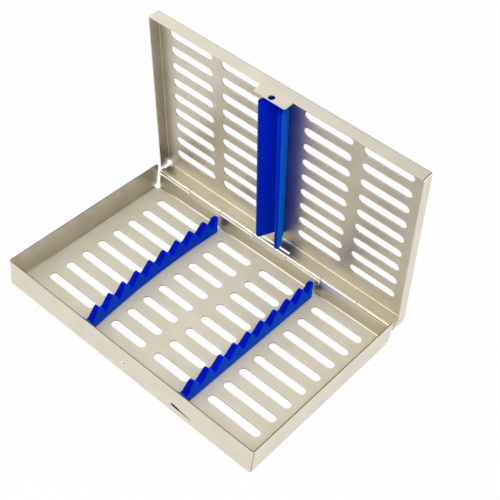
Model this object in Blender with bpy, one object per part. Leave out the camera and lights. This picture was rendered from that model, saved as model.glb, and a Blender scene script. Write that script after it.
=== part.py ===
"""Dental instrument cassette: a slotted sheet metal tray and a hinged lid that holds instruments across
two silicone combs.

Metres, +Z up. X runs along the hinge, the latch side faces -Y, and the origin is the middle of the
tray's underside. The lid stands open at its rest angle. The lid's own frame has its origin on the hinge
line and is drawn closed: -Y runs from the hinge to the latch, and +Z points out through the lid.
"""

import math

import bmesh
import bpy
from mathutils import Matrix, Vector

# Sheet metal
SHEET = 0.0007
BEND_RADIUS = 0.0017
GAP = 0.0003
CUT_OVERRUN = 0.002

# Tray, outside
TRAY_WIDTH = 0.2000
TRAY_DEPTH = 0.1340
TRAY_HEIGHT = 0.0208
BACK_WALL_DROP = 0.0005      # back wall's top edge, below the hinge line

# Lid
LID_EDGE_RISE = 0.0012       # flanges' free edge, above the hinge line of the shut lid
LID_BEND_RADIUS = 0.0013     # tighter than the tray's, so that the rim seats inside it
LID_REST_ANGLE = math.radians(81.5)

# Hinge
HINGE_END_INSET = 0.0005     # end knuckles, from the tray's sides
HINGE_HEIGHT = 0.0120
HINGE_SETBACK = 0.0023
KNUCKLE_COUNT = 7
KNUCKLE_GAP = 0.0003
PIN_RADIUS = 0.0006
PIN_END_INSET = 0.0002
LEAF_BEND_RADIUS = 0.00135
LEAF_OVERLAP = 0.0010
TRAY_LEAF_ANGLE = math.radians(-45)
LID_LEAF_ANGLE = math.radians(30)
ROLL_SWEEP = math.radians(290)
LID_NOTCH_GAP = 0.0010

# Back corners, where the walls of each pan are slit apart
CORNER_SLIT = 0.0020
CORNER_SLIT_STEP = 0.0003
RELIEF_RADIUS = 0.0020
RELIEF_INSET = 0.0018
RELIEF_HEIGHT = 0.0024
WALL_END_RADIUS = 0.0025

# Drainage slots of the tray, with insets from its outside and gaps beside the middle line and the combs
SLOT_ROWS = 9
TRAY_SLOT_WIDTH = 0.0061
TRAY_SLOT_FRONT = 0.00938
TRAY_SLOT_BACK = 0.01214
TRAY_SLOT_SIDE = 0.0125
TRAY_SLOT_MIDDLE = 0.00425
TRAY_SLOT_COMB = 0.00815

# Drainage slots of the lid, with insets from the hinge line, its outside and the middle line
LID_SLOT_WIDTH = 0.0069
LID_SLOT_BACK = 0.0172
LID_SLOT_FRONT = 0.0130
LID_SLOT_SIDE = 0.0099
LID_SLOT_MIDDLE = 0.0149
LID_SLOT_RIB = 0.0075

# Latch: a tab on the lid snaps over a pressed bump on the tray
TAB_HALF_WIDTH = 0.0120
TAB_TAPER = 0.0003
TAB_DROP = 0.0072
TAB_CORNER_RADIUS = 0.0015
LATCH_DROP = 0.0034
LATCH_HOLE_RADIUS = 0.0021
BUMP_RADIUS = 0.0017
BUMP_HEIGHT = 0.0006

# Narrow slit in the front wall
SLIT_LEFT = 0.0396
SLIT_RIGHT = 0.0547
SLIT_LEFT_HEIGHT = 0.0068
SLIT_RIGHT_HEIGHT = 0.0056
SLIT_WIDTH = 0.0013

# Silicone combs
COMB_PLACE_SHARE = 0.201     # of the tray's width, from the middle line
COMB_FRONT_GAP = 0.0018
COMB_BACK_GAP = 0.0023
COMB_FOOT_HALF = 0.0027
COMB_SHOULDER_HALF = 0.0025
COMB_TIP_HALF = 0.00115
COMB_NOTCH_HEIGHT = 0.0072
COMB_TIP_HEIGHT = 0.0151
COMB_NOTCHES = 10
COMB_FRONT_TOOTH = 0.0070
COMB_BACK_TOOTH = 0.00765
COMB_TIP_FLAT = 0.0008
COMB_END_RADIUS = 0.0022
LEFT_BOW = 0.0024
RIGHT_BOW = 0.0
BOW_MIDDLE_SHARE = 0.673     # of the comb's length, from its front
BOW_REACH_SHARE = 0.440

# Silicone retaining strip in the lid
STRIP_ROOT_HALF = 0.0023
STRIP_FIN_X = 0.0090
STRIP_FIN_DROP = 0.0050
STRIP_FIN_THICKNESS = 0.0030
STRIP_BACK = 0.0090
STRIP_FRONT = 0.0048
STRIP_END_SLANT = 0.0028
STRIP_CORNER_RADIUS = 0.0030

# Moulded pegs that hold the silicone pieces in countersunk holes
PEG_NECK_RADIUS = 0.0013
PEG_HEAD_RADIUS = 0.0019
PEG_RECESS = 0.0001
COMB_PEG_SHARES = (0.10, 0.37, 0.63, 0.90)
STRIP_PEG_SHARES = (0.08, 0.36, 0.64, 0.92)

# Facets
SLOT_END_STEPS = 6
BEND_STEPS = 3
LEAF_BEND_STEPS = 3
ROLL_STEPS = 14
ROUND_STEPS = 20
PEG_STEPS = 12
CORNER_STEPS = 4

# Worked out from the sizes above
BORE_RADIUS = PIN_RADIUS + GAP
HINGE_Y = TRAY_DEPTH / 2 + HINGE_SETBACK
LID_WIDTH = TRAY_WIDTH + 2 * (GAP + SHEET)
LID_DEPTH = HINGE_Y + TRAY_DEPTH / 2 + GAP + SHEET
LID_TOP = TRAY_HEIGHT + GAP + SHEET - HINGE_HEIGHT
LID_FLANGE_DEPTH = LID_TOP - LID_EDGE_RISE
HINGE_LENGTH = TRAY_WIDTH - 2 * HINGE_END_INSET
KNUCKLE_PITCH = (HINGE_LENGTH + KNUCKLE_GAP) / KNUCKLE_COUNT
COMB_X = TRAY_WIDTH * COMB_PLACE_SHARE
COMB_FRONT = SHEET + COMB_FRONT_GAP - TRAY_DEPTH / 2
COMB_BACK = TRAY_DEPTH / 2 - SHEET - COMB_BACK_GAP
COMB_FIRST_NOTCH = COMB_FRONT + COMB_FRONT_TOOTH
COMB_PITCH = (COMB_BACK - COMB_BACK_TOOTH - COMB_FIRST_NOTCH) / (COMB_NOTCHES - 1)


def arc(centre, radius, start, end, steps):
    """Points of an arc in a plane, both ends included."""
    angles = [start + (end - start) * step / steps for step in range(steps + 1)]
    return [(centre[0] + radius * math.cos(a), centre[1] + radius * math.sin(a)) for a in angles]


def add_prism(bm, outline, place, travel):
    """Extrudes a flat outline by the vector travel. place turns an outline point into a 3-D point."""
    base = bm.faces.new([bm.verts.new(place(*point)) for point in outline])
    sides = bmesh.ops.extrude_face_region(bm, geom=[base])["geom"]
    moved = [item for item in sides if isinstance(item, bmesh.types.BMVert)]
    bmesh.ops.translate(bm, verts=moved, vec=travel)


def add_rings(bm, rings):
    """Joins rings of as many points each into one closed solid."""
    loops = [[bm.verts.new(point) for point in ring] for ring in rings]
    for near, far in zip(loops, loops[1:]):
        for index, corner in enumerate(near):
            after = (index + 1) % len(near)
            bm.faces.new((corner, near[after], far[after], far[index]))
    bm.faces.new(loops[0])
    bm.faces.new(reversed(loops[-1]))


def add_cone(bm, centre, low_radius, high_radius, height):
    middle = Matrix.Translation(Vector(centre) + Vector((0, 0, height / 2)))
    sizes = {"radius1": low_radius, "radius2": high_radius, "depth": height}
    bmesh.ops.create_cone(bm, cap_ends=True, segments=PEG_STEPS, matrix=middle, **sizes)


def finish(name, colour, roughness, metallic):
    material = bpy.data.materials.new(name)
    material.use_nodes = True
    shader = material.node_tree.nodes["Principled BSDF"]
    shader.inputs["Base Color"].default_value = (*colour, 1)
    shader.inputs["Roughness"].default_value = roughness
    shader.inputs["Metallic"].default_value = metallic
    return material


def make_object(name, bm, parent, material=None):
    """A bmesh becomes a mesh object. Without a material it is a Boolean's helper, left out of a render."""
    if not any(edge.is_boundary for edge in bm.edges):
        bmesh.ops.recalc_face_normals(bm, faces=bm.faces)
    mesh = bpy.data.meshes.new(name)
    bm.to_mesh(mesh)
    bm.free()
    piece = bpy.data.objects.new(name, mesh)
    piece.parent = parent
    bpy.context.scene.collection.objects.link(piece)
    if material is None:
        piece.hide_render = True
        piece.display_type = "WIRE"
    else:
        mesh.materials.append(material)
        mesh.shade_smooth()
        mesh.set_sharp_from_angle(angle=math.radians(30))
    return piece


def combine(piece, other, operation):
    boolean = piece.modifiers.new(other.name, "BOOLEAN")
    boolean.operation = operation
    boolean.solver = "EXACT"
    boolean.object = other


def make_pan(name, size, bend, place, material, parent):
    """An open tray folded from sheet, with rounded folds and front corners, and square back corners."""
    width, depth, height = size
    bm = bmesh.new()
    scale = Matrix.Diagonal((width, depth, height, 1))
    bmesh.ops.create_cube(bm, size=1, matrix=Matrix.Translation((0, 0, height / 2)) @ scale)
    top = [face for face in bm.faces if face.normal.z > 0.5]
    bmesh.ops.delete(bm, geom=top, context="FACES_ONLY")
    folds = []
    for edge in bm.edges:
        back_corner = all(vert.co.y > 0 for vert in edge.verts) and edge.verts[0].co.x == edge.verts[1].co.x
        if not edge.is_boundary and not back_corner:
            folds.append(edge)
    bmesh.ops.bevel(bm, geom=folds, offset=bend, segments=BEND_STEPS, profile=0.5, affect="EDGES")
    bm.transform(place)
    pan = make_object(name, bm, parent, material)
    wall = pan.modifiers.new("sheet", "SOLIDIFY")
    wall.thickness = SHEET
    wall.offset = -1
    wall.use_even_offset = True
    return pan


def slot_outline(inner, outer, centre_y, width):
    radius = width / 2
    right = arc((outer - radius, centre_y), radius, -math.pi / 2, math.pi / 2, SLOT_END_STEPS)
    left = arc((inner + radius, centre_y), radius, math.pi / 2, math.pi * 3 / 2, SLOT_END_STEPS)
    return right + left


def slot_rows(first, last):
    return [first + (last - first) * row / (SLOT_ROWS - 1) for row in range(SLOT_ROWS)]


def slot_cutter(name, columns, rows, width, floor_height, parent):
    """Cuts every drainage slot of a pan. Columns are spans of X, and each has a twin across the middle."""
    bm = bmesh.new()
    bottom = floor_height - SHEET - CUT_OVERRUN
    travel = (0, 0, SHEET + 2 * CUT_OVERRUN)
    for inner, outer in columns:
        for centre_y in rows:
            outline = slot_outline(inner, outer, centre_y, width)
            add_prism(bm, outline, lambda x, y: (x, y, bottom), travel)
            mirrored = [(-x, y) for x, y in outline]
            add_prism(bm, mirrored, lambda x, y: (x, y, bottom), travel)
    return make_object(name, bm, parent)


def knuckle_spans(first):
    """Spans of X that the knuckles of one leaf hold: first is 0 for the lid's and 1 for the tray's."""
    start = -HINGE_LENGTH / 2
    spans = []
    for index in range(first, KNUCKLE_COUNT, 2):
        left = start + index * KNUCKLE_PITCH
        spans.append((left, left + KNUCKLE_PITCH - KNUCKLE_GAP))
    return spans


def rolled_leaf(offset, angle):
    """Outline of a sheet that runs to the hinge pin, bends by an angle and rolls round the pin.

    The first coordinate runs from the pin towards the sheet's side, and the second back along the sheet.
    offset is the sheet's own distance from the pin. Also returns where along the sheet its bend starts.
    """
    roll = BORE_RADIUS + SHEET / 2
    turn = math.copysign(1, angle)
    shift = turn * LEAF_BEND_RADIUS * (1 - math.cos(angle))
    run = (roll * math.cos(angle) - offset - shift) / math.sin(angle)
    bend_start = roll * math.sin(angle) + run * math.cos(angle) + LEAF_BEND_RADIUS * abs(math.sin(angle))
    path = [((offset, bend_start + LEAF_OVERLAP), 0.0)]
    for step in range(LEAF_BEND_STEPS + 1):
        now = angle * step / LEAF_BEND_STEPS
        across = offset + turn * LEAF_BEND_RADIUS * (1 - math.cos(now))
        path.append(((across, bend_start - LEAF_BEND_RADIUS * abs(math.sin(now))), now))
    for step in range(ROLL_STEPS + 1):
        now = angle - ROLL_SWEEP * step / ROLL_STEPS
        path.append(((roll * math.cos(now), roll * math.sin(now)), now))
    half = SHEET / 2
    outside = [(p[0] + half * math.cos(a), p[1] + half * math.sin(a)) for p, a in path]
    inside = [(p[0] - half * math.cos(a), p[1] - half * math.sin(a)) for p, a in path]
    return outside + inside[::-1], bend_start


def add_knuckles(name, outline, spans, place, parent):
    bm = bmesh.new()
    for left, right in spans:
        add_prism(bm, outline, lambda a, b: (left, *place(a, b)), (right - left, 0, 0))
    return make_object(name, bm, parent)


def back_wall_cutter(name, levels, back_y, half_inner, far, parent):
    """Trims a pan's back wall to its hinge leaf and slits it from the side walls.

    levels are spans of X with the height where the wall ends in each. far is the free side of the wall.
    """
    edge = half_inner - CORNER_SLIT
    beyond = half_inner + SHEET + CUT_OVERRUN
    outline = []
    for left, right, level in levels:
        outline += [(max(left, -edge), level), (min(right, edge), level)]
    outline += [(edge, far), (-edge, far)]
    inner_y = back_y - SHEET - CORNER_SLIT_STEP
    travel = (0, SHEET + CORNER_SLIT_STEP + CUT_OVERRUN, 0)
    bm = bmesh.new()
    add_prism(bm, outline, lambda x, z: (x, inner_y, z), travel)
    middle = make_object(name, bm, parent)
    return middle, edge, beyond, inner_y


def corner_cutters(name, edge, beyond, inner_y, floor, far, relief, parent):
    """Open both back corners: a slit, a round relief hole at its foot and a round end on the side wall."""
    low, high = sorted((floor, far))
    away = math.copysign(1, far - floor)
    wall_edge = far - away * CUT_OVERRUN
    out_y = inner_y + SHEET + CORNER_SLIT_STEP + CUT_OVERRUN
    radius = WALL_END_RADIUS
    bend = arc((inner_y - radius, wall_edge - away * radius), radius, 0, away * math.pi / 2, CORNER_STEPS)
    outline = [(inner_y, floor)] + bend + [(inner_y - radius, far), (out_y, far), (out_y, floor)]
    bm = bmesh.new()
    for side in (-1, 1):
        near_x, far_x = side * edge, side * beyond
        add_prism(bm, outline, lambda y, z: (near_x, y, z), (far_x - near_x, 0, 0))
    slits = make_object(name + "_slits", bm, parent)
    bm = bmesh.new()
    for side in (-1, 1):
        hole = arc((side * relief[0], relief[1]), RELIEF_RADIUS, 0, 2 * math.pi, ROUND_STEPS)[:-1]
        depth = away * (RELIEF_HEIGHT + CUT_OVERRUN)
        add_prism(bm, hole, lambda x, y: (x, y, floor), (0, 0, depth))
    return slits, make_object(name + "_relief_holes", bm, parent)


def peg_places(start, end, shares):
    return [start + (end - start) * share for share in shares]


def bow_at(y, bow):
    """How far a comb bends towards the tray's side wall at this depth."""
    share = (y - COMB_FRONT) / (COMB_BACK - COMB_FRONT)
    return bow * (1 - ((share - BOW_MIDDLE_SHARE) / BOW_REACH_SHARE) ** 2)


def comb_pegs(side, bow):
    places = peg_places(COMB_FRONT, COMB_BACK, COMB_PEG_SHARES)
    return [(side * (COMB_X + bow_at(y, bow)), y) for y in places]


def make_tray_pan(steel, combs):
    """The tray: floor, front and side walls, hinge leaf, pressed bump, slots and countersunk holes."""
    size = (TRAY_WIDTH, TRAY_DEPTH, TRAY_HEIGHT)
    pan = make_pan("tray_pan", size, BEND_RADIUS, Matrix.Identity(4), steel, None)
    rows = slot_rows(TRAY_SLOT_FRONT - TRAY_DEPTH / 2, TRAY_DEPTH / 2 - TRAY_SLOT_BACK)
    inner = (TRAY_SLOT_MIDDLE, COMB_X - TRAY_SLOT_COMB)
    columns = (inner, (COMB_X + TRAY_SLOT_COMB, TRAY_WIDTH / 2 - TRAY_SLOT_SIDE))
    combine(pan, slot_cutter("tray_slots", columns, rows, TRAY_SLOT_WIDTH, SHEET, None), "DIFFERENCE")

    leaf, bend_start = rolled_leaf(HINGE_SETBACK + SHEET / 2, TRAY_LEAF_ANGLE)
    joint_height = HINGE_HEIGHT - bend_start - LEAF_OVERLAP / 2
    wall_top = HINGE_HEIGHT - BACK_WALL_DROP
    levels = []
    reached = -TRAY_WIDTH
    for left, right in knuckle_spans(1):
        levels += [(reached, left, wall_top), (left, right, joint_height)]
        reached = right
    levels.append((reached, TRAY_WIDTH, wall_top))
    half_inner = TRAY_WIDTH / 2 - SHEET
    far = TRAY_HEIGHT + CUT_OVERRUN
    middle, edge, beyond, inner_y = back_wall_cutter(
        "tray_back_trim", levels, TRAY_DEPTH / 2, half_inner, far, None
    )
    combine(pan, middle, "DIFFERENCE")
    relief = (TRAY_WIDTH / 2 - RELIEF_INSET, TRAY_DEPTH / 2 - RELIEF_INSET)
    for cutter in corner_cutters("tray_corner", edge, beyond, inner_y, -CUT_OVERRUN, far, relief, None):
        combine(pan, cutter, "DIFFERENCE")
    knuckles = add_knuckles(
        "tray_knuckles", leaf, knuckle_spans(1), lambda a, b: (HINGE_Y - a, HINGE_HEIGHT - b), None
    )
    combine(pan, knuckles, "UNION")

    bm = bmesh.new()
    shape = Matrix.Diagonal((BUMP_RADIUS, BUMP_HEIGHT, BUMP_RADIUS, 1))
    place = Matrix.Translation((0, -TRAY_DEPTH / 2, HINGE_HEIGHT - LATCH_DROP)) @ shape
    bmesh.ops.create_uvsphere(bm, u_segments=ROUND_STEPS, v_segments=PEG_STEPS, radius=1, matrix=place)
    combine(pan, make_object("tray_bump", bm, None), "UNION")

    bm = bmesh.new()
    half = SLIT_WIDTH / 2
    outline = [
        (SLIT_LEFT, SLIT_LEFT_HEIGHT - half),
        (SLIT_RIGHT, SLIT_RIGHT_HEIGHT - half),
        (SLIT_RIGHT, SLIT_RIGHT_HEIGHT + half),
        (SLIT_LEFT, SLIT_LEFT_HEIGHT + half),
    ]
    start = -TRAY_DEPTH / 2 - CUT_OVERRUN
    add_prism(bm, outline, lambda x, z: (x, start, z), (0, SHEET + 2 * CUT_OVERRUN, 0))
    combine(pan, make_object("tray_slit", bm, None), "DIFFERENCE")

    bm = bmesh.new()
    slope = (PEG_HEAD_RADIUS - PEG_NECK_RADIUS) / SHEET
    head = PEG_HEAD_RADIUS + GAP + slope * CUT_OVERRUN
    neck = PEG_NECK_RADIUS + GAP - slope * PEG_RECESS
    for side, bow in combs:
        for x, y in comb_pegs(side, bow):
            add_cone(bm, (x, y, -CUT_OVERRUN), head, neck, CUT_OVERRUN + SHEET + PEG_RECESS)
    combine(pan, make_object("tray_peg_holes", bm, None), "DIFFERENCE")
    return pan


def lid_peg_places():
    return peg_places(-STRIP_BACK, STRIP_FRONT - LID_DEPTH, STRIP_PEG_SHARES)


def make_lid_pan(steel, hinge):
    """The lid: slotted panel, flanges that drop over the tray's walls, latch tab and hinge leaf."""
    flip = Matrix.Translation((0, -LID_DEPTH / 2, LID_TOP)) @ Matrix.Rotation(math.pi, 4, "Y")
    size = (LID_WIDTH, LID_DEPTH, LID_FLANGE_DEPTH)
    pan = make_pan("lid_pan", size, LID_BEND_RADIUS, flip, steel, hinge)
    rows = slot_rows(-LID_SLOT_BACK, LID_SLOT_FRONT - LID_DEPTH)
    outer_end = LID_WIDTH / 2 - LID_SLOT_SIDE
    length = (outer_end - LID_SLOT_MIDDLE - LID_SLOT_RIB) / 2
    columns = ((LID_SLOT_MIDDLE, LID_SLOT_MIDDLE + length), (outer_end - length, outer_end))
    combine(pan, slot_cutter("lid_slots", columns, rows, LID_SLOT_WIDTH, LID_TOP, hinge), "DIFFERENCE")

    leaf, bend_start = rolled_leaf(SHEET / 2, LID_LEAF_ANGLE)
    notch = BORE_RADIUS + SHEET + LID_NOTCH_GAP
    half_inner = LID_WIDTH / 2 - SHEET
    far = LID_TOP - LID_FLANGE_DEPTH - CUT_OVERRUN
    level = max(notch, bend_start + LEAF_OVERLAP / 2)
    middle, edge, beyond, inner_y = back_wall_cutter(
        "lid_back_trim", [(-LID_WIDTH, LID_WIDTH, level)], 0, half_inner, far, hinge
    )
    combine(pan, middle, "DIFFERENCE")
    relief = (LID_WIDTH / 2 - RELIEF_INSET, -RELIEF_INSET)
    outside = LID_TOP + CUT_OVERRUN
    for cutter in corner_cutters("lid_corner", edge, beyond, inner_y, outside, far, relief, hinge):
        combine(pan, cutter, "DIFFERENCE")
    knuckles = add_knuckles("lid_knuckles", leaf, knuckle_spans(0), lambda a, b: (-a, b), hinge)
    combine(pan, knuckles, "UNION")

    bm = bmesh.new()
    root = LID_TOP - LID_FLANGE_DEPTH + SHEET
    tip = LID_TOP - LID_FLANGE_DEPTH - TAB_DROP
    tip_half = TAB_HALF_WIDTH - TAB_TAPER
    radius = TAB_CORNER_RADIUS
    right = arc((tip_half - radius, tip + radius), radius, 0, -math.pi / 2, CORNER_STEPS)
    left = arc((radius - tip_half, tip + radius), radius, -math.pi / 2, -math.pi, CORNER_STEPS)
    outline = [(TAB_HALF_WIDTH, root)] + right + left + [(-TAB_HALF_WIDTH, root)]
    add_prism(bm, outline, lambda x, z: (x, -LID_DEPTH, z), (0, SHEET, 0))
    combine(pan, make_object("lid_tab", bm, hinge), "UNION")

    bm = bmesh.new()
    hole = arc((0, -LATCH_DROP), LATCH_HOLE_RADIUS, 0, 2 * math.pi, ROUND_STEPS)[:-1]
    start = -LID_DEPTH - CUT_OVERRUN
    add_prism(bm, hole, lambda x, z: (x, start, z), (0, SHEET + 2 * CUT_OVERRUN, 0))
    combine(pan, make_object("lid_latch_hole", bm, hinge), "DIFFERENCE")

    bm = bmesh.new()
    slope = (PEG_HEAD_RADIUS - PEG_NECK_RADIUS) / SHEET
    head = PEG_HEAD_RADIUS + GAP + slope * CUT_OVERRUN
    neck = PEG_NECK_RADIUS + GAP - slope * PEG_RECESS
    for y in lid_peg_places():
        low = LID_TOP - SHEET - PEG_RECESS
        add_cone(bm, (0, y, low), neck, head, CUT_OVERRUN + SHEET + PEG_RECESS)
    combine(pan, make_object("lid_peg_holes", bm, hinge), "DIFFERENCE")
    return pan


def make_hinge_pin(steel):
    """The wire pin that both leaves turn on."""
    bm = bmesh.new()
    half = HINGE_LENGTH / 2 - PIN_END_INSET
    section = arc((0, 0), PIN_RADIUS, 0, 2 * math.pi, ROUND_STEPS)[:-1]
    add_prism(bm, section, lambda y, z: (-half, y, z), (2 * half, 0, 0))
    pin = make_object("hinge_pin", bm, None, steel)
    pin.location = (0, HINGE_Y, HINGE_HEIGHT)
    return pin


def comb_ring(x, y, share):
    """One cross section of a comb, from its foot to its tip and back. share narrows it at a round end."""
    foot = SHEET + GAP
    flank = [
        (COMB_FOOT_HALF, foot),
        (COMB_SHOULDER_HALF, COMB_NOTCH_HEIGHT),
        (COMB_TIP_HALF, COMB_TIP_HEIGHT),
    ]
    right = [(x + half * share, y, z) for half, z in flank]
    left = [(x - half * share, y, z) for half, z in reversed(flank)]
    return right + left


def round_end(radius):
    """Steps of a round end, from its tip inwards: how far in each lies, and the sine that widens it."""
    angles = [math.pi / 2 * (step + 1) / (CORNER_STEPS + 1) for step in range(CORNER_STEPS + 1)]
    return [(radius * (1 - math.cos(angle)), math.sin(angle)) for angle in angles]


def make_comb(name, side, bow, silicone):
    """A silicone comb: a tapered strip with V notches, moulded in one with the pegs that hold it."""
    notches = [COMB_FIRST_NOTCH + COMB_PITCH * notch for notch in range(COMB_NOTCHES)]
    ends = round_end(COMB_END_RADIUS)
    stations = [(COMB_FRONT + inset, share) for inset, share in ends]
    stations += [(y, 1) for y in notches]
    stations += [(COMB_BACK - inset, share) for inset, share in reversed(ends)]
    bm = bmesh.new()
    add_rings(bm, [comb_ring(side * (COMB_X + bow_at(y, bow)), y, share) for y, share in stations])
    comb = make_object(name, bm, None, silicone)

    bm = bmesh.new()
    rise = COMB_TIP_HEIGHT - COMB_NOTCH_HEIGHT
    top_half = (COMB_PITCH - COMB_TIP_FLAT) / 2 * (rise + CUT_OVERRUN) / rise
    top = COMB_TIP_HEIGHT + CUT_OVERRUN
    reach = COMB_FOOT_HALF + abs(bow) + CUT_OVERRUN
    for y in notches:
        outline = [(y, COMB_NOTCH_HEIGHT), (y + top_half, top), (y - top_half, top)]
        add_prism(bm, outline, lambda a, z: (side * COMB_X - reach, a, z), (2 * reach, 0, 0))
    combine(comb, make_object(name + "_notches", bm, None), "DIFFERENCE")

    bm = bmesh.new()
    slope = (PEG_HEAD_RADIUS - PEG_NECK_RADIUS) / SHEET
    low_radius = PEG_HEAD_RADIUS - slope * PEG_RECESS
    top_radius = PEG_NECK_RADIUS - slope * 2 * GAP
    for x, y in comb_pegs(side, bow):
        add_cone(bm, (x, y, PEG_RECESS), low_radius, top_radius, SHEET + 2 * GAP - PEG_RECESS)
    combine(comb, make_object(name + "_pegs", bm, None), "UNION")
    return comb


def strip_ring(y, slant, cut):
    """One cross section of the lid's strip: two fins that spread from a root. cut shortens the fins.

    slant moves the section's free edges along the strip, so that its end leans.
    """
    root = LID_TOP - SHEET - GAP
    fin = Vector((STRIP_FIN_X - STRIP_ROOT_HALF, -STRIP_FIN_DROP - root))
    along = fin.normalized()
    inward = Vector((along.y, -along.x)) * STRIP_FIN_THICKNESS
    outer = Vector((STRIP_FIN_X, -STRIP_FIN_DROP)) - along * cut
    inner = outer + inward
    crotch = inner - along * (inner.x / along.x)
    right = [Vector((STRIP_ROOT_HALF, root)), outer, inner]
    section = right + [crotch] + [Vector((-p.x, p.y)) for p in reversed(right)]
    depth = root + STRIP_FIN_DROP
    return [(p.x, y + slant * (root - p.y) / depth, p.y) for p in section]


def make_lid_strip(silicone, hinge):
    """The silicone strip that presses on the instruments when the lid is shut."""
    bm = bmesh.new()
    ends = [(inset, STRIP_CORNER_RADIUS * (1 - share)) for inset, share in round_end(STRIP_CORNER_RADIUS)]
    near = -STRIP_BACK - STRIP_END_SLANT
    far = STRIP_FRONT - LID_DEPTH + STRIP_END_SLANT
    rings = [strip_ring(near - inset, STRIP_END_SLANT, cut) for inset, cut in ends]
    rings += [strip_ring(far + inset, -STRIP_END_SLANT, cut) for inset, cut in reversed(ends)]
    add_rings(bm, rings)
    strip = make_object("lid_strip", bm, hinge, silicone)

    bm = bmesh.new()
    slope = (PEG_HEAD_RADIUS - PEG_NECK_RADIUS) / SHEET
    low_radius = PEG_NECK_RADIUS - slope * 2 * GAP
    high_radius = PEG_HEAD_RADIUS - slope * PEG_RECESS
    height = SHEET + 2 * GAP - PEG_RECESS
    for y in lid_peg_places():
        add_cone(bm, (0, y, LID_TOP - PEG_RECESS - height), low_radius, high_radius, height)
    combine(strip, make_object("lid_strip_pegs", bm, hinge), "UNION")
    return strip


def main():
    for item in list(bpy.data.objects):
        bpy.data.objects.remove(item)
    steel = finish("satin_stainless_steel", (0.60, 0.58, 0.54), 0.32, 1.0)
    silicone = finish("blue_silicone", (0.0, 0.012, 0.48), 0.42, 0.0)
    combs = ((-1, LEFT_BOW), (1, RIGHT_BOW))
    hinge = bpy.data.objects.new("hinge", None)
    hinge.location = (0, HINGE_Y, HINGE_HEIGHT)
    hinge.rotation_euler.x = -LID_REST_ANGLE
    bpy.context.scene.collection.objects.link(hinge)
    make_tray_pan(steel, combs)
    make_hinge_pin(steel)
    make_comb("comb_left", *combs[0], silicone)
    make_comb("comb_right", *combs[1], silicone)
    make_lid_pan(steel, hinge)
    make_lid_strip(silicone, hinge)


main()
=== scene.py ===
import math

import bmesh
import bpy
from mathutils import Matrix, Vector


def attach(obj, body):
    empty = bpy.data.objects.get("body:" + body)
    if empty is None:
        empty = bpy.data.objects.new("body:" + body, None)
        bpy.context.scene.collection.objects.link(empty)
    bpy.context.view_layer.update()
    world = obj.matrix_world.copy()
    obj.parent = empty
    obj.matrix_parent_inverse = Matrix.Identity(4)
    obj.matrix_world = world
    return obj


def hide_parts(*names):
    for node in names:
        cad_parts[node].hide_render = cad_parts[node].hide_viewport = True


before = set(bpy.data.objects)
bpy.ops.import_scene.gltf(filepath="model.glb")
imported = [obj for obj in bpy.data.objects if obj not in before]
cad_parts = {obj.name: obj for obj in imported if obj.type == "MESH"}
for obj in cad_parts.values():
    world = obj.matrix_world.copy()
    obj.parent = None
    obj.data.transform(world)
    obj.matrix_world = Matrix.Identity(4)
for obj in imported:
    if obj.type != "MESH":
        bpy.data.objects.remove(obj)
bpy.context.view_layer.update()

# Camera
# A product shot from the front right, looking down into the open cassette at about 49 degrees, with a long
# lens held a few degrees off level.
camera_data = bpy.data.cameras.new("camera")
camera_data.sensor_width = 36
camera_data.lens = 80.92
camera_data.shift_x = 0.05
camera_data.shift_y = -0.07
camera = bpy.data.objects.new("camera", camera_data)
camera.location = (0.285686, -0.369063, 0.533958)
camera.rotation_euler = [math.radians(angle) for angle in (46.0387, -5.0115, 41.4219)]
bpy.context.scene.collection.objects.link(camera)
bpy.context.scene.camera = camera
bpy.context.scene.view_settings.view_transform = "Standard"


# Studio
# A white table that keeps a soft shadow, a grey surround that lights from all round, a soft window high in
# front, and two soft lamps that only metal mirrors. The camera sees the surround as white paper. Metal
# mirrors that paper low down, and overhead a room that is brightest on the left.
class Value:
    """An output of a shader node that can stand in a sum."""

    def __init__(self, finish, socket):
        self.finish = finish
        self.socket = socket

    def maths(self, operation, other=None, swapped=False):
        numbers = [self] if other is None else [self, other]
        if swapped:
            numbers.reverse()
        return self.finish.node("ShaderNodeMath", {"operation": operation}, dict(enumerate(numbers)))

    def __add__(self, other):
        return self.maths("ADD", other)

    def __sub__(self, other):
        return self.maths("SUBTRACT", other)

    def __rsub__(self, other):
        return self.maths("SUBTRACT", other, swapped=True)

    def __mul__(self, other):
        return self.maths("MULTIPLY", other)

    __radd__ = __add__
    __rmul__ = __mul__


class Finish:
    """The nodes of a material or a surround, added one by one."""

    def __init__(self, owner):
        owner.use_nodes = True
        self.tree = owner.node_tree

    def node(self, kind, settings=None, sockets=None, output=0):
        """Adds a node, gives it its settings and then its sockets, and returns one of its outputs."""
        made = self.tree.nodes.new(kind)
        for name, setting in (settings or {}).items():
            if name == "stops":
                while len(made.color_ramp.elements) < len(setting):
                    made.color_ramp.elements.new(0.5)
                for element, (place, shade) in zip(made.color_ramp.elements, setting):
                    element.position = place
                    element.color = (*shade, 1)
            else:
                setattr(made, name, setting)
        for name, value in (sockets or {}).items():
            self.feed(made.inputs[name], value)
        return Value(self, made.outputs[output])

    def feed(self, socket, value):
        if isinstance(value, Value):
            self.tree.links.new(value.socket, socket)
        elif socket.type == "RGBA":
            socket.default_value = (*value, 1)
        else:
            socket.default_value = value


def seen_directly(finish):
    """1 for the rays that see plain white paper, and 0 for the light itself and for what metal mirrors."""
    rays = ("Is Camera Ray", "Is Transmission Ray")
    return sum(finish.node("ShaderNodeLightPath", output=ray) for ray in rays).maths("MINIMUM", 1)


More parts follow.
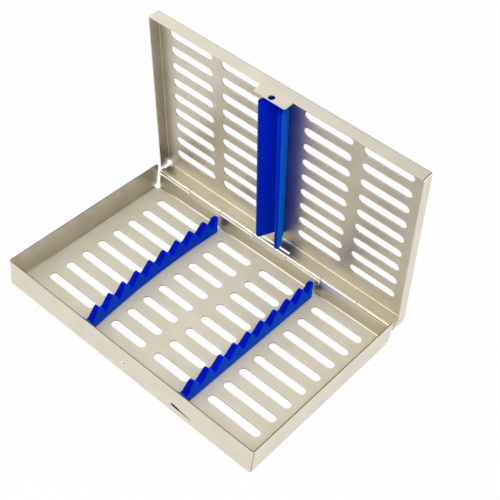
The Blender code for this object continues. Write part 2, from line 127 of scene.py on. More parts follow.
surround_grey = 0.60         # light from the surround on matt surfaces
paper_white = (1.0, 1.0, 1.0)
table_size = 6.0
table_white = (0.95, 0.95, 0.95)
table_seen = 0.95            # share of plain white in what the camera sees of the table
table_mirrored = 0.82        # and in what metal mirrors of it
room_bright = (-0.72, -0.20, 0.66)       # way to the brightest part of the mirrored room
room_light = 1.12
room_dim = 0.03
room_spread = (0.25, 0.80)   # how squarely a reflection faces that part where the light begins, and is full
paper_edge = (0.12, 0.38)    # how steeply a reflection rises where the paper begins to fade, and has gone
world = bpy.data.worlds.new("surround")
bpy.context.scene.world = world
surround = Finish(world)
way = surround.node("ShaderNodeTexCoord", output="Generated")
facing = surround.node("ShaderNodeVectorMath", {"operation": "DOT_PRODUCT"}, {0: way, 1: room_bright}, 1)
height = surround.node("ShaderNodeVectorMath", {"operation": "DOT_PRODUCT"}, {0: way, 1: (0, 0, 1)}, 1)
overhead, low_down = [surround.node(
    "ShaderNodeMapRange", {"interpolation_type": "SMOOTHSTEP"},
    {"Value": value, "From Min": start, "From Max": end, "To Min": first, "To Max": last},
) for value, start, end, first, last in (
    (facing, *room_spread, room_dim, room_light),
    (height, *paper_edge, 1, 0),
)]
room = overhead.maths("MAXIMUM", low_down)
mirrored = surround.node("ShaderNodeLightPath", output="Is Glossy Ray")
seen = seen_directly(surround)
level = seen + (1 - seen) * (mirrored * room + (1 - mirrored) * surround_grey)
shade = surround.node("ShaderNodeVectorMath", {"operation": "SCALE"}, {0: paper_white, "Scale": level})
surround.feed(surround.tree.nodes["Background"].inputs["Color"], shade)

bpy.ops.object.select_all(action="DESELECT")
bpy.ops.mesh.primitive_grid_add(x_subdivisions=2, y_subdivisions=2, size=table_size)
table = bpy.context.object
table.name = "table"
table_material = bpy.data.materials.new("white_paper")
paper = Finish(table_material)
sockets = {
    0: (seen_directly(paper) * table_seen
        + paper.node("ShaderNodeLightPath", output="Is Glossy Ray") * table_mirrored),
    1: paper.node("ShaderNodeBsdfDiffuse", sockets={"Color": table_white}),
    2: paper.node("ShaderNodeEmission", sockets={"Color": paper_white}),
}
paper.feed(
    paper.tree.nodes["Material Output"].inputs["Surface"], paper.node("ShaderNodeMixShader", {}, sockets)
)
table.data.materials.append(table_material)

lamps = (                    # name, place, size, power, and whether it lights matt surfaces or is mirrored
    ("front_glint_lamp", (-0.55, -1.12, 0.62), 0.8, 4.0, False),
    ("back_glint_lamp", (1.00, 0.68, 0.55), 0.8, 3.0, False),
    ("window_lamp", (0.30, -0.45, 1.25), 1.0, 8.5, True),
)
for name, place, size, power, lights_matt in lamps:
    lamp_data = bpy.data.lights.new(name, "AREA")
    lamp_data.size = size
    lamp_data.energy = power
    lamp = bpy.data.objects.new(name, lamp_data)
    lamp.location = place
    lamp.rotation_euler = (-Vector(place)).to_track_quat("-Z", "Y").to_euler()
    lamp.visible_diffuse = lights_matt
    lamp.visible_glossy = not lights_matt
    bpy.context.scene.collection.objects.link(lamp)


# Tray pan
# The tray is one stainless sheet, cut and punched flat, then folded up on four sides. Its front corners are
# closed round with a fine seam, its back corners are slit, and the low back wall rolls into three knuckles.
sheet = 0.0007
sheet_edge = 0.00012         # how far tumbling has rounded the sheet's edges
hinge = Vector((0, 0.0693, 0.0120))
tray_half = 0.1000
tray_back = 0.0670
tray_top = 0.0208
tray_bend = 0.0017
wall_top = 0.0115            # back wall's edge between its knuckles
wall_top_right = 0.0125      # and under the last knuckle on the right
knuckles = 7
knuckle_gap = 0.0003
hinge_half = 0.0995
knuckle_pitch = (2 * hinge_half + knuckle_gap) / knuckles
barrel_roll = 0.00125        # middle of the rolled sheet, from the pin's axis
roll = math.radians(290)
leaf_bend = 0.00135
leaf_overlap = 0.0010
tray_leaf_lean = math.radians(-25)
corner_slit = 0.0020
corner_step = 0.0003
wall_end_radius = 0.0025
relief_radius = 0.0020
relief_inset = 0.0018
relief_height = 0.0024
comb_x = 0.0402
comb_front = -0.0645
comb_back = 0.0624
combs = ((-1, 0.0024), (1, 0.0))     # side of the tray, and how far that comb bows towards it
bow_peak = 0.673             # where along the comb the bow is widest
bow_reach = 0.440            # and how far from there it has run out
comb_peg_shares = (0.10, 0.37, 0.63, 0.90)
peg_neck = 0.0013
peg_head = 0.0019
peg_clearance = 0.0003
latch_drop = 0.0034
bump_radius = 0.0017
bump_height = 0.0006
bump_dome = 0.0008
punch_marks = ((-0.0827, 0.0067), (-0.0553, 0.0063), (0.0665, 0.0040))
punch_mark_radius = 0.00055
punch_mark_height = 0.0002
front_slit = (0.0390, 0.0552)
front_slit_heights = (0.0070, 0.0056)
front_slit_width = 0.0026
front_slit_closing = 0.0011          # how far each lip has moved in at the slit's narrow end
seam_angle = math.radians(62)        # where on the corner's bend the seam is, from the front wall
seam_width = 0.00022
seam_depth = 0.0005
tray_slot_width = 0.0061
tray_slot_rows = (-0.05762, 0.05486, 9)
tray_slot_columns = ((0.00425, 0.03205), (0.04835, 0.08750))
slot_rim = 0.00022
beyond = 0.002               # how far a cutter runs past what it cuts
speck = 0.00001              # how near two places count as the same
hair = 0.0001                # and how near when faces and edges are looked for
crease = math.radians(40)    # the angle above which shading stays sharp
margin = 0.004               # width of the solid border round the slots, at least


def deselect():
    if bpy.context.mode != "OBJECT":
        bpy.ops.object.mode_set(mode="OBJECT")
    bpy.ops.object.select_all(action="DESELECT")


def choose(piece):
    deselect()
    piece.select_set(True)
    bpy.context.view_layer.objects.active = piece


def settle(piece):
    """Writes a piece's place, turn and scale into its mesh."""
    choose(piece)
    bpy.ops.object.transform_apply(location=True, rotation=True, scale=True)
    return piece


def block(name, low, high):
    """A new box between two corners, to be shaped further."""
    deselect()
    low, high = Vector(low), Vector(high)
    bpy.ops.mesh.primitive_cube_add(size=1, location=(low + high) / 2, scale=high - low)
    bpy.context.object.name = name
    return settle(bpy.context.object)


def rod(name, centre, radius, length, turn=(0, 0, 0), sides=32, end_radius=None):
    """A new round bar or cone about a centre, standing along Z before it is turned."""
    deselect()
    bpy.ops.mesh.primitive_cone_add(
        vertices=sides, radius1=radius, radius2=radius if end_radius is None else end_radius,
        depth=length, location=centre, rotation=turn,
    )
    bpy.context.object.name = name
    return settle(bpy.context.object)


def pick(piece, kind, test):
    """Opens a piece in edit mode with only the chosen vertices, edges or faces selected."""
    choose(piece)
    bpy.ops.object.mode_set(mode="EDIT")
    bpy.ops.mesh.select_mode(type={"verts": "VERT", "edges": "EDGE", "faces": "FACE"}[kind])
    bpy.ops.mesh.select_all(action="DESELECT")
    mesh = bmesh.from_edit_mesh(piece.data)
    for item in getattr(mesh, kind):
        if test(item):
            item.select_set(True)
    mesh.select_flush_mode()
    bmesh.update_edit_mesh(piece.data)


def span(edge):
    return edge.verts[0].co - edge.verts[1].co


def middle(item):
    return sum((vert.co for vert in item.verts), Vector()) / len(item.verts)


def change(piece, kind, **settings):
    """Adds a modifier to a piece and applies it."""
    choose(piece)
    modifier = piece.modifiers.new(kind, kind)
    for name, value in settings.items():
        setattr(modifier, name, value)
    bpy.ops.object.modifier_apply(modifier=modifier.name)


def join(piece, tool, operation="DIFFERENCE"):
    """Cuts a piece with a tool, or welds the tool to it, and takes the tool away."""
    change(piece, "BOOLEAN", operation=operation, solver="EXACT", object=tool)
    bpy.data.objects.remove(tool)


def face_out(piece):
    choose(piece)
    bpy.ops.object.mode_set(mode="EDIT")
    bpy.ops.mesh.select_all(action="SELECT")
    bpy.ops.mesh.normals_make_consistent(inside=False)
    deselect()


def soften(piece, width, steps=2, angle=40):
    """Rounds a piece's sharp edges a little, as tumbling or moulding leaves them, and shades it smooth."""
    choose(piece)
    bpy.ops.object.mode_set(mode="EDIT")
    bpy.ops.mesh.select_all(action="SELECT")
    bpy.ops.mesh.remove_doubles(threshold=3 * speck)
    deselect()
    change(
        piece, "BEVEL", width=width, segments=steps, limit_method="ANGLE",
        angle_limit=math.radians(angle), use_clamp_overlap=False,
    )
    choose(piece)
    bpy.ops.object.shade_smooth_by_angle(angle=crease)
    change(piece, "WEIGHTED_NORMAL", keep_sharp=True, weight=80)


def folded_pan(name, low, high, bend, opening):
    """A pan folded from sheet, with square back corners. opening is 1 for an open top, -1 for a lid."""
    pan = block(name, low, high)
    pick(pan, "faces", lambda face: face.normal.z * opening > 0.5)
    bpy.ops.mesh.delete(type="ONLY_FACE")
    halfway = (low[1] + high[1]) / 2

    def folded(edge):
        back_corner = abs(span(edge).z) > 2 * bend and middle(edge).y > halfway
        return not edge.is_boundary and not back_corner

    pick(pan, "edges", folded)
    bpy.ops.mesh.bevel(offset=bend, segments=8, profile=0.5, affect="EDGES")
    deselect()
    change(pan, "SOLIDIFY", thickness=sheet, offset=-1, use_even_offset=True)
    return pan


def punch_slots(pan, columns, rows, width, low, high):
    """Punches the drainage slots, one column at a time with its twin across the middle line."""
    first, last, count = rows
    for inner, outer in columns:
        punch = block("slots", (inner, first - width / 2, low), (outer, first + width / 2, high))
        pick(punch, "edges", lambda edge: abs(span(edge).z) > (high - low) / 2)
        bpy.ops.mesh.bevel(offset=0.49 * width, segments=10, affect="EDGES")
        deselect()
        step = (0, (last - first) / (count - 1), 0)
        change(
            punch, "ARRAY", count=count, use_relative_offset=False, use_constant_offset=True,
            constant_offset_displace=step,
        )
        change(punch, "MIRROR", use_mirror_merge=False)
        join(pan, punch)


def roll_rims(pan, columns, level):
    """Rounds the slots' rims on the pan's inner face, as the punch draws them down."""
    pick(pan, "edges", lambda edge: abs(middle(edge).z - level) < speck and any(
        inner - hair < abs(middle(edge).x) < outer + hair for inner, outer in columns
    ) and edge.calc_face_angle(0) > 1)
    bpy.ops.mesh.bevel(offset=slot_rim, segments=3, affect="EDGES")
    deselect()


def rolled_leaf(name, first_knuckle, count, offset, lean):
    """Knuckles rolled from the sheet's edge, which rises to a pin at the origin.

    offset is the sheet's middle in front of the pin, and lean the angle that it bends by before it rolls.
    Also returns how far below the pin the bend starts.
    """
    side = math.copysign(1, lean)
    shift = side * leaf_bend * (1 - math.cos(lean))
    run = (barrel_roll * math.cos(lean) - offset - shift) / math.sin(lean)
    start = barrel_roll * math.sin(lean) + run * math.cos(lean) + leaf_bend * abs(math.sin(lean))
    left = -hinge_half + first_knuckle * knuckle_pitch
    length = knuckle_pitch - knuckle_gap
    deselect()
    bpy.ops.mesh.primitive_plane_add(
        size=1, rotation=(math.pi / 2, 0, 0),
        location=(left + length / 2, -offset, -start - leaf_overlap / 2),
    )
    leaf = bpy.context.object
    leaf.name = name
    leaf.scale = (length, leaf_overlap, 1)
    settle(leaf)
    pick(leaf, "edges", lambda edge: middle(edge).z > -start - leaf_overlap / 4)
    bpy.ops.mesh.spin(
        steps=6, angle=-lean, center=(0, -offset - side * leaf_bend, -start), axis=(1, 0, 0)
    )
    along = Vector((0, -math.sin(lean), math.cos(lean))) * run
    bpy.ops.mesh.extrude_region_move(TRANSFORM_OT_translate={"value": along})
    bpy.ops.mesh.spin(steps=36, angle=roll, center=(0, 0, 0), axis=(1, 0, 0))
    bpy.ops.mesh.select_all(action="SELECT")
    bpy.ops.mesh.remove_doubles(threshold=speck)
    face_out(leaf)
    change(
        leaf, "ARRAY", count=count, use_relative_offset=False, use_constant_offset=True,
        constant_offset_displace=(2 * knuckle_pitch, 0, 0),
    )
    change(leaf, "SOLIDIFY", thickness=sheet, offset=0, use_even_offset=True)
    face_out(leaf)
    return leaf, start


def open_back_corners(pan, half, back, floor, rim, opening):
    """Slits a pan's back corners from rim to floor, with a round hole at the foot of each slit."""
    inner_y = back - sheet - corner_step
    slit = half - sheet - corner_slit
    low, high = sorted((floor - opening * beyond, rim + opening * beyond))
    for side in (-1, 1):
        near, far = sorted((side * slit, side * (half + beyond)))
        join(pan, block("slit", (near, inner_y, low), (far, back + beyond, high)))
        corner = block(
            "corner", (near, inner_y - wall_end_radius, min(rim, rim - opening * wall_end_radius)),
            (far, inner_y + beyond, max(rim, rim - opening * wall_end_radius)),
        )
        curve = rod(
            "curve", ((near + far) / 2, inner_y - wall_end_radius, rim - opening * wall_end_radius),
            wall_end_radius, far - near + beyond, (0, math.pi / 2, 0), 48,
        )
        join(corner, curve)
        choose(corner)
        corner.location = (0, speck, opening * speck)
        settle(corner)
        join(pan, corner)
        centre = (side * (half - relief_inset), back - relief_inset)
        depth = relief_height + beyond
        middle_z = floor + opening * (relief_height - beyond) / 2
        join(pan, rod("relief", (*centre, middle_z), relief_radius, depth, sides=40))


def bow_at(y, bow):
    """How far a comb bends towards the tray's side wall at this depth."""
    share = (y - comb_front) / (comb_back - comb_front)
    return bow * (1 - ((share - bow_peak) / bow_reach) ** 2)


def peg_hole(place, up):
    """A countersunk hole for a moulded peg. place is on the outer face, and up points into the pan."""
    slope = (peg_head - peg_neck) / sheet
    wide = peg_head + peg_clearance + slope * beyond
    narrow = peg_neck + peg_clearance - slope * hair
    length = beyond + sheet + hair
    turn = (0, 0, 0) if up > 0 else (math.pi, 0, 0)
    centre = (place[0], place[1], place[2] + up * (length / 2 - beyond))
    return rod("peg_hole", centre, wide, length, turn, 32, narrow)


def satin_steel(name, dullness, metallic=1, brightness=1, warmth=0.0):
    """Satin stainless sheet: a warm grey with soft stains, fine scratches along X and a slight wave."""
    material = bpy.data.materials.new(name)
    finish = Finish(material)
    place = finish.node("ShaderNodeTexCoord", output="Object")

    def cloud(size, stretch, detail):
        spread = finish.node("ShaderNodeMapping", sockets={"Vector": place, "Scale": (1 / stretch, 1, 1)})
        return finish.node(
            "ShaderNodeTexNoise", sockets={"Vector": spread, "Scale": 1 / size, "Detail": detail}
        )

    scratches = cloud(0.00040, 30, 3)
    fog = cloud(0.022, 1, 3)
    stain = cloud(0.013, 1.6, 4)
    wave = cloud(0.040, 1.5, 1)
    tint = finish.node("ShaderNodeValToRGB", {"stops": (
        (0.30, (0.76, 0.71, 0.58 - warmth)), (0.50, (0.81, 0.75, 0.62 - warmth)),
        (0.70, (0.82, 0.77, 0.67 - warmth)),
    )}, {"Fac": stain})
    # brightness below 1 dims a copy of the sheet; the dimmer inside and panel copies are painted shade.
    shade = (fog * 0.18 + scratches * 0.06 + 0.88) * brightness
    colour = finish.node("ShaderNodeVectorMath", {"operation": "SCALE"}, {0: tint, "Scale": shade})
    rough = fog * 0.08 + scratches * 0.06 + dullness - 0.07
    height = scratches * 0.0000012 + wave * 0.00006
    shader = finish.tree.nodes["Principled BSDF"]
    finish.feed(shader.inputs["Base Color"], colour)
    finish.feed(shader.inputs["Roughness"], rough)
    relief = finish.node("ShaderNodeBump", sockets={"Distance": 1.0, "Height": height})
    finish.feed(shader.inputs["Normal"], relief)
    shader.inputs["Metallic"].default_value = metallic
    return material


def cut_and_shaded_steel():
    """The rims that the punch and the shears leave: rougher than the rolled face, and darker, partly as cut
    steel is and partly as painted shade for the dark lines of the slots, the slit and the rims.
    """
    material = bpy.data.materials.new("cut_and_shaded_stainless_edge")
    finish = Finish(material)
    place = finish.node("ShaderNodeTexCoord", output="Object")
    tear = finish.node("ShaderNodeTexNoise", sockets={"Vector": place, "Scale": 2500, "Detail": 2})
    colour = finish.node("ShaderNodeValToRGB", {"stops": (
        (0.30, (0.19, 0.17, 0.13)), (0.70, (0.33, 0.30, 0.235))
    )}, {"Fac": tear})
    shader = finish.tree.nodes["Principled BSDF"]
    finish.feed(shader.inputs["Base Color"], colour)
    finish.feed(shader.inputs["Roughness"], tear * 0.20 + 0.42)
    finish.feed(shader.inputs["Normal"], finish.node(
        "ShaderNodeBump", sockets={"Distance": 1.0, "Height": tear * 0.00002}
    ))
    shader.inputs["Metallic"].default_value = 1
    return material


def dress(piece, *materials):
    piece.data.materials.clear()
    for material in materials:
        piece.data.materials.append(material)


def show_faces(piece, slot, test):
    """Gives one of a piece's materials to the faces that the test names."""
    pick(piece, "faces", test)
    piece.active_material_index = slot
    bpy.ops.object.material_slot_assign()
    deselect()


tray = folded_pan(
    "tray_sheet", (-tray_half, -tray_back, 0), (tray_half, tray_back, tray_top), tray_bend, 1
)
punch_slots(tray, tray_slot_columns, tray_slot_rows, tray_slot_width, -beyond, sheet + beyond)
roll_rims(tray, tray_slot_columns, sheet)
tray_leaf, bend_start = rolled_leaf(
    "tray_knuckles", 1, 3, hinge.y - tray_back + sheet / 2, tray_leaf_lean
)
slit_edge = tray_half - sheet - corner_slit
back_cut = tray_back - sheet - corner_step
last_knuckle = hinge_half - knuckle_pitch + knuckle_gap
for left, right, level in (
    (-slit_edge, last_knuckle, wall_top), (last_knuckle, slit_edge, wall_top_right)
):
    join(tray, block("trim", (left, back_cut, level), (right, tray_back + beyond, tray_top + beyond)))
for index in range(1, knuckles, 2):
    left = -hinge_half + index * knuckle_pitch
    join(tray, block(
        "notch", (left - knuckle_gap, back_cut, hinge.z - bend_start - leaf_overlap / 2),
        (left + knuckle_pitch, tray_back + beyond, tray_top + beyond),
    ))
open_back_corners(tray, tray_half, tray_back, 0, tray_top, 1)
tray_leaf.location = hinge
settle(tray_leaf)
join(tray, tray_leaf, "UNION")
bump = rod(
    "bump", (0, -tray_back, hinge.z - latch_drop), bump_radius, 2 * bump_height, (math.pi / 2, 0, 0)
)
pick(bump, "edges", lambda edge: abs(middle(edge).y + tray_back + bump_height) < speck)
bpy.ops.mesh.bevel(offset=bump_dome, segments=6, affect="EDGES")
deselect()
join(tray, bump, "UNION")
for x, z in punch_marks:
    join(tray, rod(
        "punch_mark", (x, -tray_back, z), punch_mark_radius, 2 * punch_mark_height, (math.pi / 2, 0, 0), 16
    ), "UNION")
slot_cut = block(
    "slit", (front_slit[0], -tray_back - beyond, -front_slit_width / 2),
    (front_slit[1], beyond - tray_back, front_slit_width / 2),
)
pick(slot_cut, "edges", lambda edge: abs(span(edge).y) > beyond)
bpy.ops.mesh.bevel(offset=0.45 * front_slit_width, segments=6, affect="EDGES")
for end, height in zip(front_slit, front_slit_heights):
    pick(slot_cut, "verts", lambda vert: abs(vert.co.x - end) < front_slit_width)
    if end == max(front_slit):
        bpy.ops.transform.resize(value=(1, 1, 1 - 2 * front_slit_closing / front_slit_width))
    bpy.ops.transform.translate(value=(0, 0, height))
join(tray, slot_cut)
for side in (-1, 1):
    seam = block(
        "seam", (-seam_depth, -seam_width / 2, 2 * tray_bend), (beyond, seam_width / 2, tray_top + beyond)
    )
    seam.rotation_euler.z = side * seam_angle - math.pi / 2
    seam.location = (
        side * (tray_half - tray_bend * (1 - math.sin(seam_angle))),
        tray_bend * (1 - math.cos(seam_angle)) - tray_back, 0,
    )
    join(tray, settle(seam))
for side, bow in combs:
    for share in comb_peg_shares:
        y = comb_front + (comb_back - comb_front) * share
        join(tray, peg_hole((side * (comb_x + bow_at(y, bow)), y, 0), 1))
soften(tray, sheet_edge)
dress(
    tray, satin_steel("satin_stainless_wall", 0.33, brightness=0.93), cut_and_shaded_steel(),
    satin_steel("satin_stainless_floor", 0.60, metallic=0.20, warmth=0.03),
    satin_steel("satin_stainless_inside_painted_shade", 0.33, brightness=0.76),
)


def tray_cut(face):
    """Whether a face was cut: the slots' and the slit's walls, and the side walls' upper rims."""
    at = middle(face)
    inside = abs(at.x) < tray_half - margin and abs(at.y) < tray_back - margin
    in_slot = inside and abs(face.normal.z) < 0.3 and abs(at.z - sheet / 2) < sheet / 2.5
    in_slit = (
        hair < at.y + tray_back < sheet + hair and abs(face.normal.y) < 0.5
        and front_slit[0] - tray_bend < at.x < front_slit[1] + tray_bend
    )
    return in_slot or in_slit or at.z > tray_top - hair / 2


def wall_inside(face, half, front, back):
    """Whether a face is on the inner side of an upright wall between these outer faces."""
    at, way = middle(face), face.normal
    on_side = abs(abs(at.x) - half + sheet) < hair / 2 and abs(way.x) > 0.98
    on_end = min(abs(at.y - front - sheet), abs(at.y - back + sheet)) < hair / 2 and abs(way.y) > 0.98
    return (on_side and way.x * at.x < 0) or (on_end and way.y * (2 * at.y - front - back) < 0)


# The cut faces get the dark cut-edge steel, which is partly real sheared steel and partly painted shade in
# the slots, the slit and along the rims.
show_faces(tray, 1, tray_cut)
show_faces(tray, 2, lambda face: abs(face.normal.z) > 0.98 and 0 <= middle(face).z < 0.001)
# Painted shade: the inner faces of the walls get the darker inside copy of the sheet, at 0.76 of its
# brightness.
show_faces(tray, 3, lambda face: wall_inside(face, tray_half, -tray_back, tray_back))
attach(tray, "tray")
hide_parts("tray_pan")


# Hinge pin
# A straight length of stainless wire that both leaves turn on. Its ends are cut square and rounded over,
# just inside the end knuckles.
pin_radius = 0.0006
pin_half = 0.0993
pin_end_curve = 0.00025
pin = rod("pin_wire", (0, hinge.y, hinge.z), pin_radius, 2 * pin_half, (0, math.pi / 2, 0))
pick(pin, "edges", lambda edge: abs(abs(middle(edge).x) - pin_half) < hair)
bpy.ops.mesh.bevel(offset=pin_end_curve, segments=4, affect="EDGES")
deselect()
bpy.ops.object.shade_smooth_by_angle(angle=crease)
dress(pin, satin_steel("drawn_stainless_wire", 0.25))
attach(pin, "tray")
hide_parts("hinge_pin")


# Silicone combs
# Two moulded silicone strips keep the instruments apart in ten V notches each. They are pressed into the
# tray by pegs, and the left one has bowed outwards.
comb_foot = 0.0010
comb_foot_half = 0.0027
comb_shoulder_half = 0.0025
comb_tip_half = 0.0019
comb_notch = 0.0072
comb_tip = 0.0151
comb_notches = 10
comb_first = comb_front + 0.0070
comb_end_tooth = 0.00605
comb_end_drop = 0.0013
comb_pitch = (comb_back - comb_end_tooth - comb_first) / (comb_notches - 1)
tip_flat = 0.0018
comb_end_flat = 0.0040
notch_curve = 0.0026
comb_corner = 0.0019
comb_edge = 0.00080
rubber_edge_angle = 25       # in degrees, above which the mould rounds an edge
peg_recess = 0.0001


def blue_silicone(name):
    """Deep royal blue moulded rubber with a soft sheen, a fine grain, paler patches, and painted shade that
    darkens it towards its foot.
    """
    material = bpy.data.materials.new(name)
    finish = Finish(material)
    place = finish.node("ShaderNodeTexCoord", output="Object")
    patch = finish.node("ShaderNodeTexNoise", sockets={"Vector": place, "Scale": 140, "Detail": 3})
    grain = finish.node("ShaderNodeTexNoise", sockets={"Vector": place, "Scale": 3500, "Detail": 2})
    tint = finish.node("ShaderNodeValToRGB", {"stops": (
        (0.30, (0.0, 0.003, 0.52)), (0.70, (0.0, 0.008, 0.66))
    )}, {"Fac": patch})
    above = finish.node("ShaderNodeVectorMath", {"operation": "DOT_PRODUCT"}, {0: place, 1: (0, 0, 1)}, 1)
    # Painted shade: the blue darkens to 0.30 of itself within a few millimetres of the floor, standing in
    # for the shade where the comb meets the tray.
    foot = finish.node("ShaderNodeMapRange", {"interpolation_type": "SMOOTHSTEP"}, {
        "Value": above, "From Min": 0.0014, "From Max": 0.0040, "To Min": 0.30, "To Max": 1
    })
    shader = finish.tree.nodes["Principled BSDF"]
    finish.feed(shader.inputs["Base Color"], finish.node(
        "ShaderNodeVectorMath", {"operation": "SCALE"}, {0: tint, "Scale": foot}
    ))
    finish.feed(shader.inputs["Roughness"], patch * 0.12 + grain * 0.06 + 0.34)
    height = grain * 0.000004 + patch * 0.00006
    relief = finish.node("ShaderNodeBump", sockets={"Distance": 1.0, "Height": height})
    finish.feed(shader.inputs["Normal"], relief)
    for socket, value in (
        ("Specular IOR Level", 0.03), ("Specular Tint", (0.0, 0.45, 1.0, 1)),
        ("Sheen Weight", 1.0), ("Sheen Roughness", 0.43), ("Sheen Tint", (0.0, 0.30, 1.0, 1)),
    ):
        shader.inputs[socket].default_value = value
    return material


silicone = blue_silicone("blue_silicone")


def add_pegs(piece, places, outer, up):
    """Moulded pegs that fill the countersunk holes of a pan.

    outer is the height of the pan's outer face, and up is 1 where the pan's inside is above it, else -1.
    """
    slope = (peg_head - peg_neck) / sheet
    length = sheet + 2 * peg_clearance - peg_recess
    wide = peg_head - slope * peg_recess
    narrow = peg_neck - slope * 2 * peg_clearance
    turn = (0, 0, 0) if up > 0 else (math.pi, 0, 0)
    for x, y in places:
        centre = (x, y, outer + up * (peg_recess + length / 2))
        join(piece, rod("peg", centre, wide, length, turn, 24, narrow), "UNION")


for name, (side, bow) in zip(("comb_left_moulding", "comb_right_moulding"), combs):
    notches = [comb_first + comb_pitch * index for index in range(comb_notches)]
    stations = [comb_front] + notches + [comb_back]
    x = side * (comb_x + bow_at(comb_front, bow))
    comb = block(
        name, (x - comb_foot_half, comb_front, comb_foot), (x + comb_foot_half, stations[1], comb_notch)
    )
    pick(comb, "faces", lambda face: face.normal.z > 0.5)
    bpy.ops.transform.resize(value=(comb_shoulder_half / comb_foot_half, 1, 1))
    pick(comb, "verts", lambda vert: vert.co.y > comb_front + 0.001)
    bend = side * (bow_at(stations[1], bow) - bow_at(comb_front, bow))
    bpy.ops.transform.translate(value=(bend, 0, 0))
    pick(comb, "faces", lambda face: face.normal.y > 0.5)
    for near, far in zip(stations[1:], stations[2:]):
        bend = side * (bow_at(far, bow) - bow_at(near, bow))
        bpy.ops.mesh.extrude_region_move(TRANSFORM_OT_translate={"value": (bend, far - near, 0)})
    pick(comb, "edges", lambda edge: abs(span(edge).z) > 0.003 and (
        abs(middle(edge).y - comb_front) < 0.001 or abs(middle(edge).y - comb_back) < 0.001
    ))
    bpy.ops.mesh.bevel(offset=comb_corner, segments=5, affect="EDGES")
    rise = comb_tip - comb_notch
    for near, far in zip(stations, stations[1:]):
        pick(comb, "faces", lambda face: face.normal.z > 0.5 and near < middle(face).y < far)
        bpy.ops.mesh.extrude_region_move(TRANSFORM_OT_translate={"value": (0, 0, rise)})
        half_top = (comb_pitch - tip_flat) / 2
        low = near if near == comb_front else near + half_top
        high = far - half_top
        if far == comb_back:
            low, high = far - comb_end_flat, far
            bpy.ops.transform.translate(value=(0, 0, -comb_end_drop))
        share = (high - low) / (far - near)
        anchor = (low - near * share) / (1 - share)
        centre_x = side * (comb_x + bow_at((near + far) / 2, bow))
        bpy.ops.transform.resize(
            value=(comb_tip_half / comb_shoulder_half, share, 1), center_override=(centre_x, anchor, 0)
        )
    pick(comb, "edges", lambda edge: (
        abs(span(edge).x) > comb_shoulder_half and middle(edge).z > comb_foot + 0.001
        and min(abs(middle(edge).y - notch) for notch in notches) < hair
    ))
    bpy.ops.mesh.bevel(offset=notch_curve, segments=6, affect="EDGES")
    deselect()
    soften(comb, comb_edge, 4, rubber_edge_angle)
    peg_ys = [comb_front + (comb_back - comb_front) * share for share in comb_peg_shares]
    add_pegs(comb, [(side * (comb_x + bow_at(y, bow)), y) for y in peg_ys], 0, 1)
    dress(comb, silicone)
    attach(comb, "tray")
    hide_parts(name.replace("_moulding", ""))


# Lid pan
# The lid is folded from the same sheet, a little larger, so that its flanges drop over the tray's walls. A
# tab with a hole snaps over the bump on the tray, and four knuckles are rolled from its back flange.
lid_half = 0.1010
lid_front = -0.1373
lid_top = 0.0098
lid_rim = 0.0012
lid_bend = 0.0013
lid_angle = math.radians(81.5)
lid_leaf_lean = math.radians(30)
lid_slot_width = 0.0069
lid_slot_rows = (-0.0172, -0.1243, 9)
lid_slot_columns = ((0.0149, 0.04925), (0.05675, 0.0911))
lid_notch = 0.0019
lid_wide_notch = 0.0030
tab_half = 0.0120
tab_taper = 0.0003
tab_tip = -0.0060
tab_corner = 0.0015
latch_hole = 0.0021
strip_peg_shares = (0.08, 0.36, 0.64, 0.92)
strip_back = -0.0072
strip_front = -0.1318
strip_peg_ys = [strip_back + (strip_front - strip_back) * share for share in strip_peg_shares]


def hang(piece):
    """Opens a piece that was made in place on the shut lid."""
    piece.matrix_world = Matrix.Translation(hinge) @ Matrix.Rotation(-lid_angle, 4, "X")
    return settle(piece)


lid = folded_pan(
    "lid_sheet", (-lid_half, lid_front, lid_rim), (lid_half, 0, lid_top), lid_bend, -1
)
punch_slots(
    lid, lid_slot_columns, lid_slot_rows, lid_slot_width, lid_top - sheet - beyond, lid_top + beyond
)
roll_rims(lid, lid_slot_columns, lid_top - sheet)
lid_leaf, bend_start = rolled_leaf("lid_knuckles", 0, 4, sheet / 2, lid_leaf_lean)
lid_leaf.scale = (1, 1, -1)
settle(lid_leaf)
face_out(lid_leaf)
slit_edge = lid_half - sheet - corner_slit
join(lid, block(
    "trim", (-slit_edge, -sheet - corner_step, lid_rim - beyond), (slit_edge, beyond, lid_notch)
))
for index in (0, 2, 3, 4, 6):
    own = index % 2 == 0                    # a knuckle of the lid's, where the rolled leaf takes over
    left = -hinge_half + index * knuckle_pitch - (knuckle_gap if own else 0)
    right = -hinge_half + (index + 1) * knuckle_pitch - (0 if own else knuckle_gap)
    join(lid, block(
        "notch", (max(left, -slit_edge), -sheet - corner_step, 0),
        (min(right, slit_edge), beyond, bend_start + leaf_overlap / 2 if own else lid_wide_notch),
    ))
open_back_corners(lid, lid_half, 0, lid_top, lid_rim, -1)
join(lid, lid_leaf, "UNION")
tab = block("tab", (-tab_half, lid_front, tab_tip), (tab_half, lid_front + sheet, lid_rim + sheet))
pick(tab, "faces", lambda face: face.normal.z < -0.5)
bpy.ops.transform.resize(value=((tab_half - tab_taper) / tab_half, 1, 1))
pick(tab, "edges", lambda edge: abs(span(edge).y) > sheet / 2 and middle(edge).z < 0)
bpy.ops.mesh.bevel(offset=tab_corner, segments=6, affect="EDGES")
deselect()
join(lid, tab, "UNION")
join(lid, rod(
    "latch", (0, lid_front + sheet / 2, -latch_drop), latch_hole, 2 * beyond, (math.pi / 2, 0, 0), 40
))
for y in strip_peg_ys:
    join(lid, peg_hole((0, y, lid_top), -1))
soften(lid, sheet_edge)
dress(
    lid, bpy.data.materials["satin_stainless_wall"], bpy.data.materials["cut_and_shaded_stainless_edge"],
    satin_steel("satin_stainless_panel_painted_shade", 0.44, brightness=0.87),
    bpy.data.materials["satin_stainless_inside_painted_shade"],
)
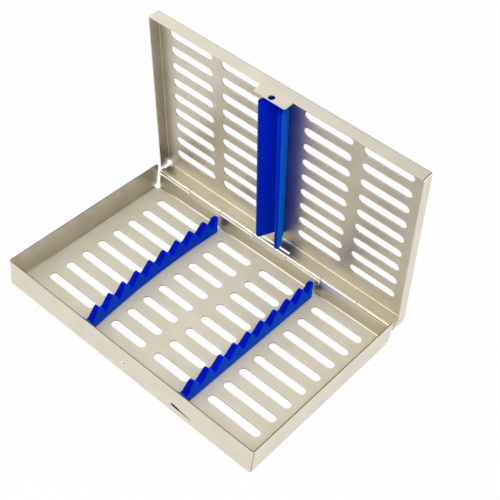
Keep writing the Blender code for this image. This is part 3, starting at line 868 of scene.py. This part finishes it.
# Painted shade: the lid's inner flange faces get the same darker inside copy of the sheet.
show_faces(lid, 3, lambda face: wall_inside(face, lid_half, lid_front, 0) and middle(face).z > lid_rim)
# Painted shade: both faces of the lid panel get a rougher copy of the sheet, dimmed to 0.87 of its
# brightness.
show_faces(lid, 2, lambda face: abs(face.normal.z) > 0.98 and middle(face).z > lid_top - 0.001)
# The lid's slot walls get the same dark cut-edge steel, partly painted shade.
show_faces(lid, 1, lambda face: (
    abs(face.normal.z) < 0.3 and abs(middle(face).z - lid_top + sheet / 2) < sheet / 3
    and abs(middle(face).x) < lid_half - margin and lid_front + margin < middle(face).y < -margin
))
hang(lid)
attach(lid, "lid")
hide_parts("lid_pan")


# Silicone hold-down strip
# A soft moulded strip under the lid, with two fins that spread and press on the instruments. Pegs hold it
# in countersunk holes down the middle of the lid, as they hold the combs.
strip_root = 0.0088
strip_root_half = 0.0038
strip_web = 0.0016           # how thick the strip is where its fins meet
fin_x = 0.0090
fin_low = -0.0050
fin_thick = 0.0022
fin_slant = 0.0028
fin_corner = 0.0022
strip_edge = 0.00070
fin_twist = (0.0007, 0.0020, 0.0012)     # how the right fin has turned out at its back end
along = Vector((fin_x - strip_root_half, 0, fin_low - strip_root)).normalized()
inner_tip = Vector((fin_x, 0, fin_low)) + Vector((along.z, 0, -along.x)) * fin_thick
crotch = Vector((0, 0, strip_root - strip_web))
strip = block("lid_strip_moulding", (0, strip_front, fin_low), (fin_x, strip_back, strip_root))
pick(strip, "faces", lambda face: True)
bpy.ops.mesh.bisect(plane_co=crotch, plane_no=(0, 0, 1))
outer_share = (strip_root - crotch.z) / (strip_root - fin_low)
moves = (
    (fin_x, strip_root, (strip_root_half - fin_x, 0, 0)),
    (fin_x, crotch.z, (strip_root_half + (fin_x - strip_root_half) * outer_share - fin_x, 0, 0)),
    (0, fin_low, (inner_tip.x, 0, inner_tip.z - fin_low)),
)
for x, z, move in moves:
    pick(strip, "verts", lambda vert: abs(vert.co.x - x) < hair and abs(vert.co.z - z) < hair)
    bpy.ops.transform.translate(value=move)
for end, slant in ((strip_back, 0), (strip_front, fin_slant)):
    for z, share in ((strip_root, 1), (crotch.z, (crotch.z - fin_low) / (strip_root - fin_low))):
        pick(strip, "verts", lambda vert: abs(vert.co.y - end) < hair and abs(vert.co.z - z) < hair)
        bpy.ops.transform.translate(value=(0, slant * share, 0))
pick(strip, "faces", lambda face: face.normal.x < -0.99 and abs(middle(face).x) < hair)
bpy.ops.mesh.delete(type="FACE")
pick(strip, "edges", lambda edge: middle(edge).z < fin_low / 2 and min(
    abs(middle(edge).y - end) for end in (strip_back, strip_front)
) < fin_thick)
bpy.ops.mesh.bevel(offset=fin_corner, segments=6, affect="EDGES")
deselect()
change(strip, "MIRROR", use_clip=True, merge_threshold=2 * speck)
pick(strip, "verts", lambda vert: (
    vert.co.x > fin_x / 2 and vert.co.y > strip_back - 0.002 and vert.co.z < 0
))
bpy.ops.transform.translate(value=fin_twist)
face_out(strip)
soften(strip, strip_edge, 4, rubber_edge_angle)
add_pegs(strip, [(0, y) for y in strip_peg_ys], lid_top, -1)
hang(strip)
dress(strip, silicone)
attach(strip, "lid")
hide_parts("lid_strip")
